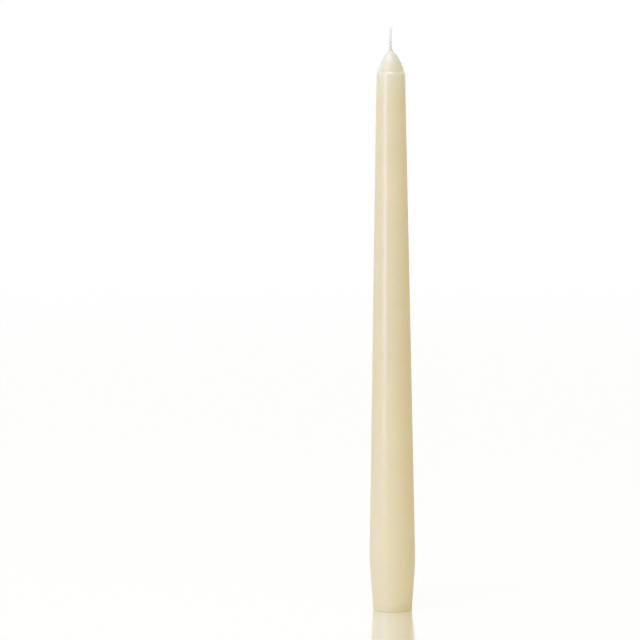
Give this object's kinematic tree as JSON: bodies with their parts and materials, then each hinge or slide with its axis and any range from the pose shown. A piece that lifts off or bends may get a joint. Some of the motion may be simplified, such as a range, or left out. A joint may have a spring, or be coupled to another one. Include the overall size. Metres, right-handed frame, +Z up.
{
  "type": "taper candle",
  "caption": "Tall slim taper candle with a wedge-shaped foot for a candlestick, a rounded shoulder, a pointed tip and a plaited wick.",
  "frame": {"origin": "middle of the flat base, on the candle's axis", "axes": "+Z up along the candle's axis towards the wick, +X along the wide way of the flat plait"},
  "size_m": [0.0239, 0.024, 0.305],
  "materials": {
    "wax": "ivory candle wax, slightly translucent, with a soft satin sheen",
    "wick_cotton": "bleached cotton plait, matt"
  },
  "bodies": {
    "root": {"wax_body": "wax", "wick": "wick_cotton"}
  },
  "joints": []
}
